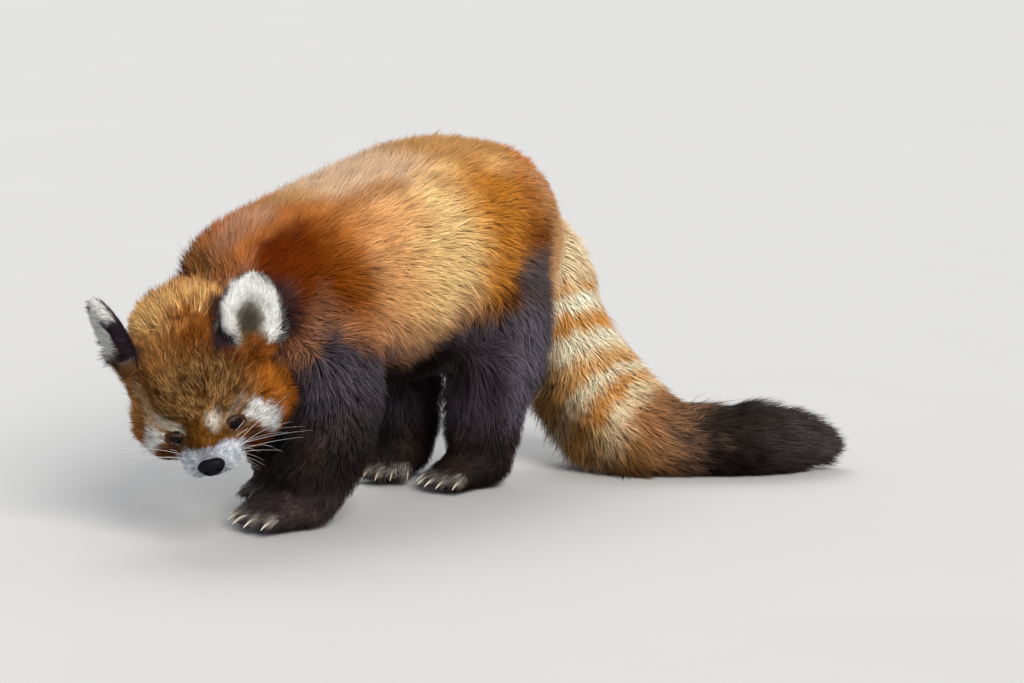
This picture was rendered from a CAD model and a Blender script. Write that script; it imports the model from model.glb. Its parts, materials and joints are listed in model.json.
"""A standing red panda: its skin, coat, eyes, nose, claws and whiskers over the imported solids."""

import json
import math

import bmesh
import bpy
import numpy as np
from mathutils import Matrix, Vector
from mathutils.bvhtree import BVHTree
from mathutils.kdtree import KDTree

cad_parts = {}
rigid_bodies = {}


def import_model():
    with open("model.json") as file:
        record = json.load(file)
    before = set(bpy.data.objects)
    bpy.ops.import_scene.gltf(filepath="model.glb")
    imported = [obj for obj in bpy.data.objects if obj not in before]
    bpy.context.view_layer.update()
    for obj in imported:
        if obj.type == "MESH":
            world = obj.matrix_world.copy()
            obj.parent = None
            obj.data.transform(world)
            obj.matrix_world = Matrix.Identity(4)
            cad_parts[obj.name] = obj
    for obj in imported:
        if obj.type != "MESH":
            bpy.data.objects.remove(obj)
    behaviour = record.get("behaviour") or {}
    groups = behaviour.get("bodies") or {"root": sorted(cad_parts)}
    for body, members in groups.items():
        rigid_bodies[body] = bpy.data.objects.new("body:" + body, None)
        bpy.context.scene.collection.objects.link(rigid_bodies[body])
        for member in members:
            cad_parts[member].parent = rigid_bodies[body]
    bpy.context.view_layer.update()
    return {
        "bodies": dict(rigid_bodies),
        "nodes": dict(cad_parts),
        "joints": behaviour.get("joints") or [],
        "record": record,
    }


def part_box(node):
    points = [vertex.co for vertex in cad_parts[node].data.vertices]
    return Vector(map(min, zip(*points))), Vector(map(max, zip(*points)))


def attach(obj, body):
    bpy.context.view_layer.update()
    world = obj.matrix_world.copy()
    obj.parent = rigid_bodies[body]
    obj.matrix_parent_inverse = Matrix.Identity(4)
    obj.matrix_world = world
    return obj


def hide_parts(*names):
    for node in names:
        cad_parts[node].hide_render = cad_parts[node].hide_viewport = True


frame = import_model()
bpy.ops.object.select_all(action="DESELECT")

SEED = 23

# ---------------------------------------------------------------- the animal's sizes, in metres

# Sections of the trunk, rump to neck: the middle, half width, half height.
TRUNK = [
    ((0.000, 0.106, 0.194), 0.020, 0.032),
    ((0.000, 0.092, 0.197), 0.042, 0.061),
    ((0.000, 0.056, 0.202), 0.070, 0.090),
    ((0.000, 0.006, 0.207), 0.090, 0.103),
    ((0.000, -0.055, 0.209), 0.093, 0.106),
    ((0.000, -0.120, 0.202), 0.092, 0.101),
    ((0.000, -0.185, 0.192), 0.088, 0.096),
    ((0.000, -0.240, 0.183), 0.083, 0.092),
    ((-0.001, -0.277, 0.173), 0.074, 0.087),
    ((-0.002, -0.301, 0.161), 0.058, 0.062),
]

# Limbs, top to wrist or ankle: the middle, half width across the body, half depth along it.
LIMBS = {
    "fore_left": [
        ((0.044, -0.240, 0.186), 0.032, 0.050),
        ((0.061, -0.241, 0.150), 0.037, 0.051),
        ((0.067, -0.242, 0.110), 0.036, 0.045),
        ((0.063, -0.247, 0.070), 0.036, 0.040),
        ((0.050, -0.260, 0.036), 0.035, 0.037),
    ],
    "fore_right": [
        ((-0.044, -0.230, 0.186), 0.032, 0.050),
        ((-0.061, -0.219, 0.150), 0.036, 0.050),
        ((-0.066, -0.202, 0.110), 0.034, 0.043),
        ((-0.058, -0.186, 0.070), 0.034, 0.038),
        ((-0.046, -0.178, 0.036), 0.033, 0.035),
    ],
    "hind_left": [
        ((0.042, 0.008, 0.200), 0.040, 0.066),
        ((0.056, -0.012, 0.155), 0.043, 0.059),
        ((0.056, -0.024, 0.110), 0.038, 0.051),
        ((0.049, -0.024, 0.070), 0.035, 0.044),
        ((0.045, -0.024, 0.036), 0.032, 0.036),
    ],
    "hind_right": [
        ((-0.042, 0.012, 0.200), 0.040, 0.066),
        ((-0.056, -0.008, 0.155), 0.043, 0.058),
        ((-0.055, -0.020, 0.110), 0.038, 0.050),
        ((-0.048, -0.024, 0.070), 0.034, 0.042),
        ((-0.043, -0.028, 0.036), 0.031, 0.034),
    ],
}

# Paws: heel, middle of the knuckles, half width there.
PAWS = {
    "fore_left": ((0.049, -0.256, 0.018), (0.031, -0.298, 0.014), 0.037),
    "fore_right": ((-0.045, -0.170, 0.018), (-0.031, -0.213, 0.014), 0.035),
    "hind_left": ((0.050, -0.027, 0.018), (0.041, -0.067, 0.013), 0.029),
    "hind_right": ((-0.045, -0.033, 0.018), (-0.028, -0.074, 0.013), 0.029),
}
TOES = 5
TOE_LENGTH = 0.016
TOE_RADIUS = 0.0092
TOE_FAN = 16  # degrees that the outermost toes turn out
CLAW_LENGTH = 0.0178  # along the ground
CLAW_SPAN = 0.0165  # straight from root to point
CLAW_RADIUS = 0.0022
CLAW_STEPS = 12
OVER_FLOOR = 0.0012  # the lowest that skin and claws come

# The tail's own line, root to tip: the middle and the coat's outer radius.
TAIL = [
    ((0.000, 0.074, 0.212), 0.030),
    ((0.006, 0.098, 0.204), 0.036),
    ((0.015, 0.111, 0.178), 0.036),
    ((0.024, 0.115, 0.142), 0.036),
    ((0.040, 0.115, 0.106), 0.042),
    ((0.067, 0.114, 0.071), 0.046),
    ((0.100, 0.114, 0.047), 0.045),
    ((0.132, 0.126, 0.034), 0.036),
    ((0.165, 0.149, 0.029), 0.031),
    ((0.197, 0.181, 0.029), 0.031),
    ((0.224, 0.215, 0.026), 0.023),
    ((0.239, 0.237, 0.022), 0.012),
    ((0.245, 0.246, 0.020), 0.005),
]
TAIL_CORE = 0.70  # of the outer radius
TAIL_ACROSS = (0.6, -0.7, 0.3)  # square to nearly all of its line

# The head's own frame: its origin is the middle of the braincase; forward, left and up.
HEAD_CENTRE = Vector((0.030, -0.365, 0.124))
HEAD_TURN = math.radians(47.5)  # to the animal's left
HEAD_DROP = math.radians(27)  # nose down
HEAD_TILT = math.radians(16)  # left side up

# Lumps of the head: middle and radii, forward, left and up.
HEAD_LUMPS = [
    ((-0.020, 0, 0.012), (0.058, 0.060, 0.051)),  # braincase
    ((-0.056, 0, 0.016), (0.050, 0.056, 0.057)),  # nape
    ((0.020, 0, 0.018), (0.031, 0.042, 0.030)),  # forehead
    ((0.050, 0, -0.002), (0.027, 0.016, 0.015)),  # bridge of the nose
    ((0.003, 0.034, -0.014), (0.043, 0.034, 0.038)),  # left cheek
    ((0.003, -0.029, -0.010), (0.043, 0.032, 0.034)),  # right cheek
    ((0.043, 0, -0.016), (0.027, 0.030, 0.021)),  # root of the muzzle
    ((0.058, 0.011, -0.019), (0.019, 0.0145, 0.0130)),  # left upper lip
    ((0.058, -0.011, -0.019), (0.019, 0.0145, 0.0130)),  # right upper lip
    ((0.066, 0, -0.013), (0.013, 0.0115, 0.010)),  # under the nose pad
    ((0.026, 0, -0.032), (0.036, 0.024, 0.016)),  # lower jaw
    ((0.052, 0, -0.031), (0.014, 0.012, 0.0085)),  # chin
]
NOSE = ((0.0762, 0, -0.0152), (0.0065, 0.0125, 0.0080))
MOUTH = [(0.037, 0.026, -0.029), (0.050, 0.022, -0.031), (0.063, 0.012, -0.029), (0.071, 0, -0.026)]
EYE_PLACE = (0.0370, 0.0218, -0.0045)
EYE_RADIUS = 0.0085
EYE_OUTWARD = math.radians(24)
EYE_OPENING = (0.0076, 0.0048)  # half length, half height
RIGHT_EYE_SHUT = 0.72  # of that height

# Ears: where the root's middle lies, the way the ear rises, the way its hollow faces.
EARS = {
    "ear_left": ((-0.004, 0.050, 0.036), (-0.34, 0.30, 0.90), (0.93, 0.25, 0.30)),
    "ear_right": ((-0.008, -0.051, 0.045), (-0.30, -0.33, 0.90), (0.45, -0.86, 0.00)),
}
EAR_LENGTH = 0.062
EAR_HALF_WIDTH = 0.027
EAR_HALF_DEPTH = 0.010
EAR_ROOT = 0.016  # sunk below the skin


def head_matrix():
    """Maps (forward, left, up) of the head's frame to the model's."""
    turn = Matrix.Rotation(HEAD_TURN, 3, "Z")
    forward = turn @ Vector((0, -math.cos(HEAD_DROP), -math.sin(HEAD_DROP)))
    left = Matrix.Rotation(HEAD_TILT, 3, forward) @ (turn @ Vector((1, 0, 0)))
    axes = Matrix((forward, left, forward.cross(left))).transposed()
    return Matrix.Translation(HEAD_CENTRE) @ axes.to_4x4()


HEAD = head_matrix()
EYE_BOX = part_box("eye_left")
# From the sizes' own origin, under the shoulders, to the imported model's.
SHIFT = (EYE_BOX[0] + EYE_BOX[1]) / 2 - HEAD @ Vector(EYE_PLACE)
PLACE = Matrix.Translation(SHIFT)


def frame_towards(place, ahead, up):
    """A frame at a place, with X ahead and Z as near to up as it can be."""
    x = Vector(ahead).normalized()
    y = Vector(up).cross(x).normalized()
    axes = Matrix((x, y, x.cross(y))).transposed()
    return Matrix.Translation(place) @ axes.to_4x4()


def ear_frame(name):
    """The frame of an ear: X the way the hollow faces, Z the way the ear rises."""
    root, rise, face = EARS[name]
    axes = HEAD.to_3x3()
    return frame_towards(HEAD @ Vector(root), axes @ Vector(face), axes @ Vector(rise))


def eye_frame(side):
    """The frame of an eye: X looks out of it, Y runs along the lids."""
    f, l, u = EYE_PLACE
    look = Matrix.Rotation(EYE_OUTWARD * side, 3, "Z") @ Vector((1, 0, 0.12))
    axes = HEAD.to_3x3()
    return frame_towards(HEAD @ Vector((f, l * side, u)), axes @ look, axes @ Vector((0, 0, 1)))


def toe_places(limb):
    """Knuckle and direction of each toe of a paw, from one side to the other."""
    heel, knuckles, half_width = PAWS[limb]
    heel, knuckles = Vector(heel), Vector(knuckles)
    ahead = knuckles - heel
    ahead.z = 0
    ahead.normalize()
    side = Vector((-ahead.y, ahead.x, 0))
    places = []
    for i in range(TOES):
        share = 2 * i / (TOES - 1) - 1
        fan = Matrix.Rotation(math.radians(TOE_FAN) * share, 3, "Z")
        across = side * (share * (half_width - TOE_RADIUS))
        places.append((knuckles + across - ahead * (0.010 * share * share), fan @ ahead))
    return places


def smooth_line(points, spans):
    """Points on a Catmull-Rom curve through the given ones, with this many steps a span."""
    points = [Vector(p) for p in points]
    ends = [points[0] * 2 - points[1]] + points + [points[-1] * 2 - points[-2]]
    line = []
    for i in range(1, len(ends) - 2):
        a, b, c, d = ends[i - 1 : i + 3]
        for step in range(spans):
            t = step / spans
            bend = (a * 2 - b * 5 + c * 4 - d) * (t * t) + (b * 3 - a - c * 3 + d) * t**3
            line.append(b + ((c - a) * t + bend) / 2)
    return line + [points[-1]]


def smooth_sections(sections, spans):
    """Sections (middle, half width, half height) read off smooth curves through the given ones."""
    middles = smooth_line([s[0] for s in sections], spans)
    halves = smooth_line([(s[1], s[-1], 0) for s in sections], spans)
    return [(m, max(h.x, 0.0), max(h.y, 0.0)) for m, h in zip(middles, halves)]


# ---------------------------------------------------------------- modelling helpers


def choose(*things):
    """Selects these things only; the first is the one worked on."""
    bpy.ops.object.select_all(action="DESELECT")
    for thing in things:
        thing.select_set(True)
    bpy.context.view_layer.objects.active = things[0]


def edit_all(thing, operation, **settings):
    """Runs one edit operation on a whole mesh."""
    choose(thing)
    bpy.ops.object.mode_set(mode="EDIT")
    bpy.ops.mesh.select_all(action="SELECT")
    operation(**settings)
    bpy.ops.object.mode_set(mode="OBJECT")


def name_it(name):
    """The newest thing, under its own name."""
    thing = bpy.context.object
    thing.name = name
    return thing


def ball(name, matrix, segments=32):
    """A sphere primitive carried by a matrix."""
    bpy.ops.mesh.primitive_uv_sphere_add(segments=segments, ring_count=segments // 2, radius=1)
    thing = name_it(name)
    thing.data.transform(matrix)
    return thing


def axes_at(sections, i, across):
    """The way that a row of sections runs at one of them, and the way across it."""
    last = len(sections) - 1
    ahead = (sections[min(i + 1, last)][0] - sections[max(i - 1, 0)][0]).normalized()
    side = Vector(across)
    return ahead, (side - ahead * side.dot(ahead)).normalized()


def tube(name, sections, across=(1, 0, 0), sides=24):
    """A closed body extruded from a ring through sections that stand square to their line."""
    bpy.ops.mesh.primitive_circle_add(vertices=sides, radius=1, fill_type="NGON")
    thing = name_it(name)
    bpy.ops.object.mode_set(mode="EDIT")
    before = Matrix()
    for i, (middle, half_width, half_height) in enumerate(sections):
        if i:
            bpy.ops.mesh.extrude_region_move()
        ahead, side = axes_at(sections, i, across)
        axes = Matrix((side, ahead.cross(side), ahead)).transposed().to_4x4()
        size = Matrix.Diagonal((max(half_width, 1e-5), max(half_height, 1e-5), 1, 1))
        now = Matrix.Translation(middle) @ axes @ size
        bm = bmesh.from_edit_mesh(thing.data)
        ring = [v for v in bm.verts if v.select]
        bmesh.ops.transform(bm, matrix=now @ before.inverted(), verts=ring)
        bmesh.update_edit_mesh(thing.data)
        before = now
    bpy.ops.mesh.select_all(action="SELECT")
    bpy.ops.mesh.normals_make_consistent(inside=False)
    bpy.ops.object.mode_set(mode="OBJECT")
    return thing


def apply(thing, kind, **settings):
    """Adds one modifier, sets it up and applies it."""
    choose(thing)
    modifier = thing.modifiers.new(kind.title(), kind)
    for key, value in settings.items():
        setattr(modifier, key, value)
    bpy.ops.object.modifier_apply(modifier=modifier.name)
    return thing


def joined(name, things):
    """Several meshes as one object."""
    choose(*things)
    bpy.ops.object.join()
    return name_it(name)


def cut(thing, tool):
    """Takes the tool's space out of the thing."""
    apply(thing, "BOOLEAN", operation="DIFFERENCE", object=tool, solver="EXACT")
    bpy.data.objects.remove(tool)
    return thing


def fused(name, lumps, voxel, rounds):
    """One smooth closed body from lumps that run into each other."""
    body = joined(name, lumps)
    apply(body, "REMESH", mode="VOXEL", voxel_size=voxel)
    return apply(body, "SMOOTH", factor=0.5, iterations=rounds)


def rows_of(items, key, width, kind=np.float32):
    """One property of all items of a mesh, as rows of numbers."""
    rows = np.empty(len(items) * width, kind)
    items.foreach_get(key, rows)
    return rows.reshape(-1, width)


def points_of(thing):
    """The places of the mesh's vertices."""
    return rows_of(thing.data.vertices, "co", 3).astype(float)


def normals_of(thing):
    """The ways that the mesh's vertices face."""
    return rows_of(thing.data.vertices, "normal", 3).astype(float)


def move_points(thing, spots):
    """Gives the mesh's vertices new places."""
    thing.data.vertices.foreach_set("co", spots.astype(np.float32).ravel())
    thing.data.update()


def surface_of(thing):
    """The mesh as it stands, to find nearest points on."""
    faces = [tuple(polygon.vertices) for polygon in thing.data.polygons]
    return BVHTree.FromPolygons([Vector(p) for p in points_of(thing)], faces)


def unit(rows):
    """Each row at length 1."""
    return rows / np.maximum(np.linalg.norm(rows, axis=1, keepdims=True), 1e-9)


def soft_step(low, high, values):
    """0 below low, 1 above high and smooth between; low may be above high."""
    t = np.clip((values - low) / (high - low), 0, 1)
    return t * t * (3 - 2 * t)


def wobble(spots, size, seed):
    """A smooth random value, about -1 to 1, with swells of this size."""
    draw = np.random.default_rng(seed)
    waves = draw.normal(size=(10, 3)) * (4.4 / size)
    return np.sin(spots @ waves.T + draw.uniform(0, 6.283, 10)).mean(1) * 2.2


HEAD_INVERSE = np.array(HEAD.inverted())
EAR_INVERSES = {name: np.array(ear_frame(name).inverted()) for name in EARS}
EYE_INVERSES = [np.array(eye_frame(side).inverted()) for side in (1, -1)]
EYE_SPAN = 0.020  # round an eye's middle, all that belongs to it


def seen_from(matrix, spots):
    """The spots in the frame that the inverse matrix leads to."""
    return spots @ matrix[:3, :3].T + matrix[:3, 3]


def lid_reach(e, wider=0.0):
    """How far out spots in an eye's frame lie, where 1 is the edge of the lids' opening."""
    return np.hypot(e[:, 1] / (EYE_OPENING[0] + wider), e[:, 2] / (EYE_OPENING[1] + wider))


# ---------------------------------------------------------------- the lie of the coat

KINDS = ("body", "leg", "tail", "head", "ear")
BODY_KIND, TAIL_KIND, HEAD_KIND = (KINDS.index(where) for where in ("body", "tail", "head"))
GUIDES = []
GUIDE_CORE = 0.004  # nearer than this a guide hardly gains weight
AT_ONCE = 20000  # spots that are read together

# Depth, length and width of the tufts in mm, tufts per square mm and rise, down a limb.
LIMB_COAT = [
    (12, 25, 1.3, 0.25, 1.1),
    (9, 20, 1.2, 0.27, 1.2),
    (7.5, 16, 1.1, 0.30, 1.2),
    (5, 12, 1.0, 0.36, 1.2),
]
# The same along the trunk and at the end of the tail.
TRUNK_COAT = [(12, 24, 1.2, 0.37, 1.1)] * 3 + [(16, 26, 1.2, 0.35, 1.1)] * 4 + [(17, 28, 1.2, 0.35, 1.1)] * 3
TAIL_END_COAT = [(7, 30, 1.2, 0.55, 1.3), (4, 28, 1.1, 0.6, 1.2), (2, 26, 1.1, 0.7, 0.8)]
# How the long hair under the tail hangs where the tail comes down, section by section.
TAIL_HANGING = ((-0.3, -0.3, -1), (-0.4, -0.35, -1), (-0.25, -0.3, -1), (0.3, -0.2, -1))
# On the head, mirrored: place and lie in the head's own frame, then the coat's numbers.
HEAD_COAT = [
    ((0.074, 0, -0.004), (-0.8, 0, 0.6), 0.8, 4, 0.55, 2.2),
    ((0.064, 0, 0.004), (-1, 0, 0.3), 1.4, 5, 0.6, 2.0),
    ((0.054, 0.004, 0.010), (-0.8, 0.1, 0.6), 2.4, 8, 0.7, 1.6),
    ((0.066, 0.014, -0.012), (-0.8, 0.7, 0), 1.6, 6, 0.6, 2.0),
    ((0.056, 0.022, -0.012), (-0.8, 0.7, -0.2), 2.2, 7, 0.65, 1.8),
    ((0.064, 0.014, -0.026), (-0.4, 0.5, -0.8), 2.0, 8, 0.65, 1.8),
    ((0.048, 0.028, -0.020), (-0.8, 0.6, -0.4), 3.0, 9, 0.7, 1.5),
    ((0.052, 0, -0.038), (-1, 0, -0.4), 2.0, 7, 0.7, 1.4),
    ((0.044, 0.028, -0.014), (-0.6, 0.8, -0.3), 2.6, 8, 0.65, 1.7),
    ((0.046, 0.010, 0.012), (-0.5, 0.1, 0.9), 3.4, 11, 0.75, 1.4),
    ((0.038, 0.024, 0.010), (-0.6, 0.3, 0.8), 3.6, 11, 0.75, 1.4),
    ((0.036, 0.036, 0.002), (-0.6, 0.8, 0.3), 3.6, 11, 0.75, 1.4),
    ((0.036, 0.038, -0.014), (-0.5, 0.9, -0.2), 4.0, 12, 0.8, 1.3),
    ((0.036, 0.012, 0.038), (-0.8, 0.1, 0.6), 5.5, 16, 0.9, 1.0),
    ((0.024, 0.034, 0.028), (-0.8, 0.4, 0.5), 5.5, 16, 0.9, 1.0),
    ((0.004, 0.014, 0.056), (-1, 0.1, 0.1), 8, 20, 1.0, 0.75),
    ((0.000, 0.050, 0.028), (-0.9, 0.4, 0.2), 5, 15, 0.9, 0.9),
    ((-0.030, 0.024, 0.062), (-1, 0.1, 0), 10, 24, 1.1, 0.6),
    ((-0.060, 0.020, 0.066), (-1, 0.1, 0), 12, 28, 1.2, 0.5),
    ((-0.090, 0.020, 0.050), (-1, 0, 0), 15, 31, 1.4, 0.3),
    ((-0.050, 0.058, 0.030), (-1, 0.2, -0.2), 9, 22, 1.1, 0.6),
    ((-0.080, 0.050, 0.010), (-1, 0, -0.2), 14, 30, 1.4, 0.35),
    ((0.024, 0.054, -0.006), (-0.6, 0.9, -0.2), 7, 21, 0.9, 1.0, 1.4),
    ((0.006, 0.066, -0.012), (-0.80, 0.90, -0.40), 10, 35, 0.9, 0.95, 2.2),
    ((-0.018, 0.062, -0.004), (-0.9, 0.7, -0.35), 11, 36, 1.0, 0.85, 2.0),
    ((0.014, 0.054, -0.036), (-0.7, 0.7, -0.5), 9, 24, 0.9, 0.8, 1.3),
    ((-0.004, 0.036, -0.050), (-0.7, 0.4, -0.5), 9, 22, 1.1, 0.6),
    ((0.030, 0.012, -0.048), (-1, 0.1, -0.2), 4, 12, 0.9, 0.9),
    ((-0.010, 0, -0.046), (-1, 0, -0.1), 8, 22, 1.2, 0.4),
    ((-0.050, 0.030, -0.034), (-1, 0.1, -0.2), 12, 28, 1.4, 0.3),
]


def guide(kind, place, lie, depth, length, width, density, rise=1.0):
    """One known spot of the coat: depth, length and width in mm, tufts per square mm.

    Rise is how far the hair stands above the depth that the skin is sunk by.
    """
    lie = Vector(lie).normalized()
    GUIDES.append((*place, *lie, depth, length, width, density, rise, KINDS.index(kind)))


def guide_rings(kind, sections, across, numbers, droop=0.0, flip=1, rounds=8):
    """Guides round a row of sections; numbers holds each one's depth, length, width, density."""
    for i, (middle, half_width, half_height) in enumerate(sections):
        ahead, side = axes_at(sections, i, across)
        rise = ahead.cross(side)
        for k in range(rounds):
            angle = 2 * math.pi * k / rounds
            out = side * math.cos(angle) + rise * math.sin(angle)
            spot = middle + side * (math.cos(angle) * half_width) + rise * (math.sin(angle) * half_height)
            lie = ahead * flip + Vector((0, 0, -droop)) * (1 - out.z * out.z)
            guide(kind, spot, lie, *numbers[i])


def guide_trunk():
    """Short over the back, longer and hanging under the belly."""
    trunk = [(Vector(m), w, h) for m, w, h in TRUNK]
    guide_rings("body", trunk, (1, 0, 0), TRUNK_COAT, droop=0.45, flip=-1)
    for middle, half_width, half_height in trunk[3:8]:
        for side in (-0.7, 0, 0.7):
            below = middle + Vector((side * half_width, 0, -0.9 * half_height))
            guide("body", below, (0.15 * side, 0.55, -0.8), 14, 38, 1.4, 0.26, 1.25)


def guide_limbs():
    """Down the limbs, and over the toes towards the claws."""
    down = Vector((0, 0, -1))
    for limb, sections in LIMBS.items():
        sections = [(Vector(m), w, h) for m, w, h in sections][1:]
        guide_rings("leg", sections, (1, 0, 0), LIMB_COAT, rounds=6)
        for knuckle, ahead in toe_places(limb):
            guide("leg", knuckle + Vector((0, 0, 0.009)), ahead + down * 0.3, 3.4, 10, 0.8, 0.55)
            guide("leg", knuckle + ahead * 0.018, ahead + down * 0.7, 3.6, 11.5, 0.7, 0.6)
            guide("leg", knuckle - ahead * 0.02 + Vector((0, 0, 0.014)), ahead + down * 0.2, 4, 11, 0.9, 0.45)
        heel = Vector(PAWS[limb][0])
        back = heel - Vector(PAWS[limb][1])
        guide("leg", heel + back.normalized() * 0.024, (0, 0.2, -1), 3.5, 10, 0.9, 0.6)


def guide_tail():
    """Bushy all along, with long hair that hangs from it and wisps at its end."""
    tail = [(Vector(m), r * 0.9, r * 0.9) for m, r in TAIL]
    coat = []
    for _, radius in TAIL:
        coat.append((1000 * radius * (1 - TAIL_CORE), 20 + 250 * radius, 1.3, 0.54, 1.45))
    coat[1] = (11, 25, 1.3, 0.44, 1.3)
    coat[-3:] = TAIL_END_COAT
    guide_rings("tail", tail[1:], TAIL_ACROSS, coat[1:], rounds=6)
    for i, ahead in enumerate(TAIL_HANGING, 3):
        for step in (0, 1 / 3, 2 / 3):
            below = tail[i][0].lerp(tail[i + 1][0], step) + Vector((-0.020, -0.014, -0.026))
            guide("tail", below, ahead, 14, 44, 1.3, 0.55, 2.2)
    for middle, _, _ in tail[8:11]:
        guide("tail", middle + Vector((-0.004, -0.010, 0.026)), (0.75, 0.6, 0.35), 8, 44, 1.2, 0.55, 2.2)


def guide_head():
    """Backwards over the head, short at the muzzle, with ruffs on the cheeks."""
    axes = HEAD.to_3x3()
    for (f, l, u), (lf, ll, lu), *coat in HEAD_COAT:
        for side in (1, -1) if l else (1,):
            guide("head", HEAD @ Vector((f, l * side, u)), axes @ Vector((lf, ll * side, lu)), *coat)


def guide_ears():
    """Up the ears: rim, hollow and back, and long hair below the hollow."""
    for name in EARS:
        ear = ear_frame(name)
        turn = ear.to_3x3()
        outer = 1 if name == "ear_left" else -1
        rows = []
        for share in (0.25, 0.55, 0.85):
            half = EAR_HALF_WIDTH * math.sqrt(1 - (share * 0.98) ** 2 * 0.9)
            height = EAR_LENGTH * share
            for side in (1, -1):
                rows.append(((0.006, half * side, height), (0.3, side * 0.55, 0.75), 2.2, 9, 0.7, 1.7))
                inner = half * side * 0.62
                rows.append(((0.004, inner, height), (0.6, -side * 0.25, 0.7), 2.2, 9, 0.6, 2.2))
            rows.append(((-0.008, 0, height), (0, 0, 1), 2.2, 9, 0.8, 1.2))
            rows.append(((0.000, 0, height), (0.25, 0, 1), 1.6, 7, 0.6, 1.1))
        rows.append(((0.002, 0, EAR_LENGTH), (0.3, 0, 0.9), 2.4, 9, 0.6, 2.2))
        rows.append(((0.004, outer * 0.024, 0.012), (0.45, outer * 0.8, -0.45), 3, 19, 0.8, 2.6, 1.8))
        rows.append(((0.004, -outer * 0.020, 0.014), (0.6, outer * 0.5, -0.6), 3, 13, 0.7, 2.6, 1.4))
        for place, lie, *coat in rows:
            guide("ear", ear @ Vector(place), turn @ Vector(lie), *coat)


def read_guides(spots):
    """Weighted guides at each spot: lie, depth, length, width, density and the share of each kind."""
    table = np.array(GUIDES)
    kinds = np.eye(len(KINDS))[table[:, 11].astype(int)]
    values = np.hstack([table[:, 3:11], kinds])
    out = np.empty((len(spots), values.shape[1]))
    for start in range(0, len(spots), AT_ONCE):
        some = spots[start : start + AT_ONCE]
        gap = ((some[:, None, :] - table[None, :, :3]) ** 2).sum(2)
        weight = 1 / (gap + GUIDE_CORE**2) ** 2
        weight /= weight.sum(1, keepdims=True)
        out[start : start + AT_ONCE] = weight @ values
    return {
        "lie": unit(out[:, :3]),
        "depth": out[:, 3] / 1000,
        "length": out[:, 4] / 1000,
        "width": out[:, 5] / 1000,
        "density": out[:, 6],
        "rise": out[:, 7],
        "kind": out[:, 8:],
    }


# ---------------------------------------------------------------- markings


def tint(red, green, blue):
    """A colour in 0-255 display values as linear light."""
    return (np.array([red, green, blue]) / 255.0) ** 2.2


DEEP_RUST = tint(92, 39, 0)
RUST = tint(182, 112, 54)
TAWNY = tint(212, 150, 96)
SANDY = tint(238, 194, 132)
OCHRE = tint(186, 118, 48)
PINK_BUFF = tint(200, 166, 135)
GOLD_BUFF = tint(174, 128, 78)
RUMP_RUST = tint(122, 70, 28)
ROSY_BROWN = tint(164, 114, 86)
MAUVE_BROWN = tint(112, 82, 68)
BLACK_BROWN = tint(30, 23, 22)
BLUE_BLACK = tint(58, 53, 61)
GREY_TIP = tint(150, 142, 148)
CROWN_GOLD = tint(232, 174, 110)
CHESTNUT = tint(88, 43, 6)
GRIZZLE = tint(80, 51, 20)
TAN_TIP = tint(212, 160, 102)
ORANGE = tint(156, 88, 26)
BRIDGE = tint(98, 62, 20)
MUZZLE_WHITE = tint(182, 187, 197)
WHITE = tint(246, 245, 240)
TEAR = tint(70, 40, 26)
PLUM = tint(45, 35, 41)
OLIVE = tint(86, 80, 62)
PAW_TIP = tint(200, 190, 180)
SHOULDER_BROWN = tint(112, 56, 12)
WITHERS_ORANGE = tint(176, 100, 36)
STREAK_BROWN = tint(146, 92, 48)
LOIN_ORANGE = tint(176, 112, 46)
RUMP_SAND = tint(216, 165, 108)
WARM_BLACK = tint(60, 42, 37)
SHANK_BLACK = tint(58, 51, 56)
SHANK_GREY = tint(90, 84, 94)
HAUNCH_BROWN = tint(74, 55, 48)
PAW_BROWN = tint(64, 52, 51)
TAIL_CREAM = tint(252, 231, 198)
TAIL_OCHRE = tint(206, 142, 72)
TAIL_RUST = tint(176, 112, 54)
TAIL_STRAW = tint(146, 106, 62)
TAIL_SHADE = tint(66, 46, 28)
TAIL_GREY = tint(112, 98, 90)
TEMPLE_TAN = tint(172, 122, 72)
TEMPLE_STRAW = tint(196, 168, 134)
BROW_CREAM = tint(214, 204, 188)
LIP_GREY = tint(128, 118, 132)
LID_BROWN = tint(64, 40, 26)
EAR_ROOT_TAN = tint(120, 84, 52)
EAR_TUFT_TAN = tint(112, 84, 56)

# The lower edge of the rufous coat: along the body and height.
COAT_EDGE = [
    (-0.34, 0.112), (-0.300, 0.118), (-0.284, 0.138), (-0.272, 0.160), (-0.263, 0.170), (-0.254, 0.168),
    (-0.250, 0.156), (-0.234, 0.146), (-0.166, 0.128), (-0.134, 0.126), (-0.115, 0.134),
    (-0.097, 0.148), (-0.073, 0.152), (-0.059, 0.153), (-0.047, 0.155), (-0.033, 0.162),
    (-0.011, 0.182), (0.013, 0.205), (0.034, 0.216), (0.060, 0.203), (0.110, 0.196),
]
# Colours of the flank and of the ridge of the back, from neck to rump.
FLANK = [
    (-0.330, ROSY_BROWN), (-0.310, DEEP_RUST), (-0.255, DEEP_RUST), (-0.235, tint(118, 58, 12)),
    (-0.210, RUST), (-0.182, TAWNY), (-0.140, TAWNY * 0.6 + SANDY * 0.4), (-0.112, SANDY),
    (-0.088, SANDY * 0.92), (-0.070, tint(214, 158, 90)), (-0.050, OCHRE * 1.04), (-0.018, OCHRE * 0.9),
    (0.012, RUST * 0.85), (0.034, TAWNY * 0.8), (0.070, ROSY_BROWN),
]
RIDGE = [
    (-0.320, ROSY_BROWN), (-0.270, ROSY_BROWN * 0.8 + PINK_BUFF * 0.2), (-0.230, GOLD_BUFF),
    (-0.190, PINK_BUFF), (-0.120, PINK_BUFF), (-0.080, GOLD_BUFF), (0.030, GOLD_BUFF), (0.060, RUST),
]
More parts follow.
